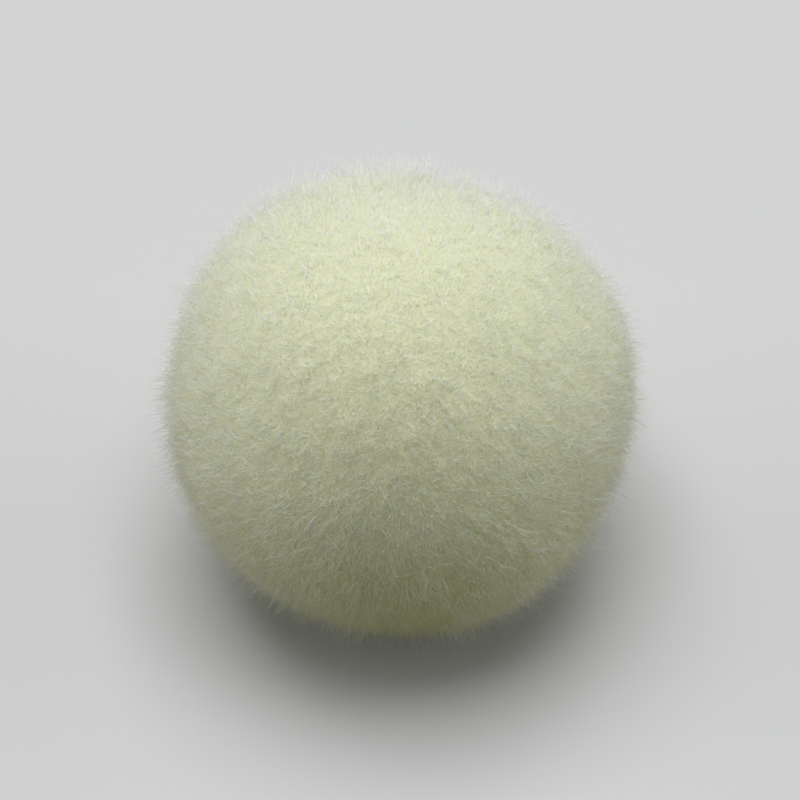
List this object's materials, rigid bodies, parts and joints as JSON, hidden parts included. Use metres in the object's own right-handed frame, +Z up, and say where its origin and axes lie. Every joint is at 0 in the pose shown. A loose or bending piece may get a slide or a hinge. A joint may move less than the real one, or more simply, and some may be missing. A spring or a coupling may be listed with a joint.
{
  "type": "pompom",
  "caption": "Small round craft pompom of soft cut pile, lying on a small flat spot pressed into its underside.",
  "frame": {"origin": "middle of the flat patch that the pompom lies on", "axes": "+Z up, square to the patch, through the middle of the ball; the ball looks alike from every side, so +X and +Y point nowhere in particular"},
  "size_m": [0.0201, 0.0202, 0.0197],
  "materials": {
    "pile": "matt cut acrylic pile, pale lemon green, with paler fibre ends"
  },
  "bodies": {
    "root": {"pompom": "pile"}
  },
  "joints": []
}
